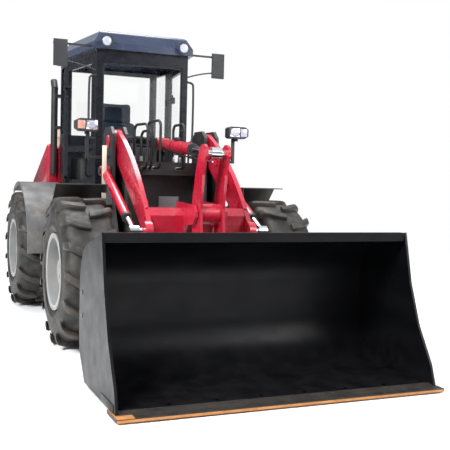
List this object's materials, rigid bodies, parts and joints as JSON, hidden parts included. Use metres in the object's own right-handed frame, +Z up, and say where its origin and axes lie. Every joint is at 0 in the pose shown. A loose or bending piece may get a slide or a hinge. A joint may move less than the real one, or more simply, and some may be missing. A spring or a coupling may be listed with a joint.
{
  "type": "compact articulated wheel loader",
  "caption": "Articulated wheel loader with a bucket on lift arms, a cab with two doors, a sloping engine hood and four tyred wheels.",
  "frame": {"origin": "on the ground below the middle of the machine's length and width", "axes": "+Z up, -Y forward towards the bucket, -X to the machine's right"},
  "size_m": [2.05, 5.411, 2.565],
  "materials": {
    "frame_grey": "satin",
    "boom_red": "gloss",
    "body_red": "gloss",
    "cab_dark": "gloss",
    "black_steel": "satin",
    "bucket_black": "gloss",
    "edge_steel": "worn",
    "rim_grey": "satin",
    "tyre_rubber": "matt",
    "chrome_rod": "polished",
    "seat_cloth": "cloth",
    "dark_plastic": "matt",
    "lamp_lens": "clear",
    "window": "clear",
    "fender_grey": "satin",
    "cream": "gloss",
    "red_plastic": "gloss",
    "hose_rubber": "matt",
    "engine_iron": "matt"
  },
  "bodies": {
    "rear_frame": {"rear_frame": "frame_grey", "rear_axle": "frame_grey", "counterweight": "cab_dark", "engine": "engine_iron", "rear_fender_right": "fender_grey", "rear_fender_left": "fender_grey", "steps_right": "black_steel", "steps_left": "black_steel", "exhaust": "black_steel", "cab_tub": "cab_dark", "cab_frame": "cab_dark", "cab_roof": "cab_dark", "windscreen": "window", "rear_windows": "window", "seat_base": "dark_plastic", "seat_cushions": "seat_cloth", "steering_column": "dark_plastic", "mirrors": "dark_plastic", "roof_lamps": "lamp_lens", "tail_lamps": "red_plastic"},
    "front_frame": {"front_frame": "frame_grey", "tower": "boom_red", "front_axle": "frame_grey", "front_fender_right": "black_steel", "front_fender_left": "black_steel", "headlamp_posts": "black_steel", "headlamps": "lamp_lens", "hydraulic_hoses": "hose_rubber"},
    "boom": {"boom": "boom_red"},
    "bellcrank": {"bellcrank": "boom_red"},
    "tilt_link": {"tilt_link": "boom_red"},
    "tilt_barrel": {"tilt_barrel": "body_red"},
    "tilt_rod": {"tilt_rod": "chrome_rod"},
    "lift_barrels": {"lift_barrels": "black_steel"},
    "lift_rods": {"lift_rods": "chrome_rod"},
    "steer_barrel": {"steer_barrel": "black_steel"},
    "steer_rod": {"steer_rod": "chrome_rod"},
    "bucket": {"bucket": "bucket_black", "cutting_edge": "edge_steel", "quick_hitch": "black_steel"},
    "hood": {"hood": "body_red", "air_intake": "cream"},
    "door_right": {"door_right": "cab_dark", "door_glass_right": "window"},
    "door_left": {"door_left": "cab_dark", "door_glass_left": "window"},
    "wheel_front_right": {"tyre_front_right": "tyre_rubber", "rim_front_right": "rim_grey"},
    "wheel_front_left": {"tyre_front_left": "tyre_rubber", "rim_front_left": "rim_grey"},
    "wheel_rear_right": {"tyre_rear_right": "tyre_rubber", "rim_rear_right": "rim_grey"},
    "wheel_rear_left": {"tyre_rear_left": "tyre_rubber", "rim_rear_left": "rim_grey"}
  },
  "joints": [
    {"name": "steer", "type": "hinge", "parent": "rear_frame", "child": "front_frame", "pos_m": [0, 0.3605, 0.6], "axis": [0, 0, 1], "range_deg": [-40, 40]},
    {"name": "boom_lift", "type": "hinge", "parent": "front_frame", "child": "boom", "pos_m": [0, -0.2445, 1.56], "axis": [-1, 0, 0], "range_deg": [0, 80]},
    {"name": "bucket_tilt", "type": "hinge", "parent": "boom", "child": "bucket", "pos_m": [0, -1.5745, 0.3], "axis": [1, 0, 0], "range_deg": [-42, 95]},
    {"name": "bellcrank_turn", "type": "hinge", "parent": "boom", "child": "bellcrank", "pos_m": [0, -1.3145, 1.02], "axis": [1, 0, 0], "range_deg": [-20, 9]},
    {"name": "link_turn", "type": "hinge", "parent": "bellcrank", "child": "tilt_link", "pos_m": [0, -1.4545, 0.42], "axis": [1, 0, 0], "range_deg": [-52, 116.5]},
    {"name": "tilt_barrel_turn", "type": "hinge", "parent": "boom", "child": "tilt_barrel", "pos_m": [0, -0.2445, 1.56], "axis": [1, 0, 0], "range_deg": [-1, 1]},
    {"name": "tilt_rod_slide", "type": "slide", "parent": "tilt_barrel", "child": "tilt_rod", "axis": [0, -0.9957, -0.0924], "range_m": [-0.15, 0.067]},
    {"name": "lift_barrel_turn", "type": "hinge", "parent": "front_frame", "child": "lift_barrels", "pos_m": [0, -0.3145, 1.32], "axis": [-1, 0, 0], "range_deg": [0, 81.5]},
    {"name": "lift_rod_slide", "type": "slide", "parent": "lift_barrels", "child": "lift_rods", "axis": [0, -0.8923, -0.4514], "range_m": [0, 0.325]},
    {"name": "steer_barrel_turn", "type": "hinge", "parent": "rear_frame", "child": "steer_barrel", "pos_m": [0.17, 0.6505, 0.62], "axis": [0, 0, 1], "range_deg": [-19.5, 19.5]},
    {"name": "steer_rod_slide", "type": "slide", "parent": "steer_barrel", "child": "steer_rod", "axis": [0.009, -1, 0], "range_m": [-0.119, 0.119]},
    {"name": "hood_lift", "type": "hinge", "parent": "rear_frame", "child": "hood", "pos_m": [0, 1.5955, 1.632], "axis": [1, 0, 0], "range_deg": [0, 50]},
    {"name": "door_right_swing", "type": "hinge", "parent": "rear_frame", "child": "door_right", "pos_m": [-0.544, 1.0975, 1.6], "axis": [0, 0, -1], "range_deg": [0, 85]},
    {"name": "door_left_swing", "type": "hinge", "parent": "rear_frame", "child": "door_left", "pos_m": [0.544, 1.0975, 1.6], "axis": [0, 0, 1], "range_deg": [0, 85]},
    {"name": "wheel_front_right_spin", "type": "hinge", "parent": "front_frame", "child": "wheel_front_right", "pos_m": [-0.791, -0.6945, 0.557], "axis": [1, 0, 0], "continuous": true},
    {"name": "wheel_front_left_spin", "type": "hinge", "parent": "front_frame", "child": "wheel_front_left", "pos_m": [0.791, -0.6945, 0.557], "axis": [1, 0, 0], "continuous": true},
    {"name": "wheel_rear_right_spin", "type": "hinge", "parent": "rear_frame", "child": "wheel_rear_right", "pos_m": [-0.791, 1.4155, 0.557], "axis": [1, 0, 0], "continuous": true},
    {"name": "wheel_rear_left_spin", "type": "hinge", "parent": "rear_frame", "child": "wheel_rear_left", "pos_m": [0.791, 1.4155, 0.557], "axis": [1, 0, 0], "continuous": true}
  ],
  "couplings": [
    {"joint": "bellcrank_turn", "follows": "bucket_tilt", "ratio": -0.2},
    {"joint": "link_turn", "follows": "bucket_tilt", "ratio": 1.22},
    {"joint": "tilt_barrel_turn", "follows": "bucket_tilt", "ratio": -0.006},
    {"joint": "tilt_rod_slide", "follows": "bucket_tilt", "m_per_rad": -0.088236},
    {"joint": "lift_barrel_turn", "follows": "boom_lift", "ratio": 1.0098},
    {"joint": "lift_rod_slide", "follows": "boom_lift", "m_per_rad": 0.22993},
    {"joint": "steer_barrel_turn", "follows": "steer", "ratio": 0.48},
    {"joint": "steer_rod_slide", "follows": "steer", "m_per_rad": -0.16902}
  ]
}
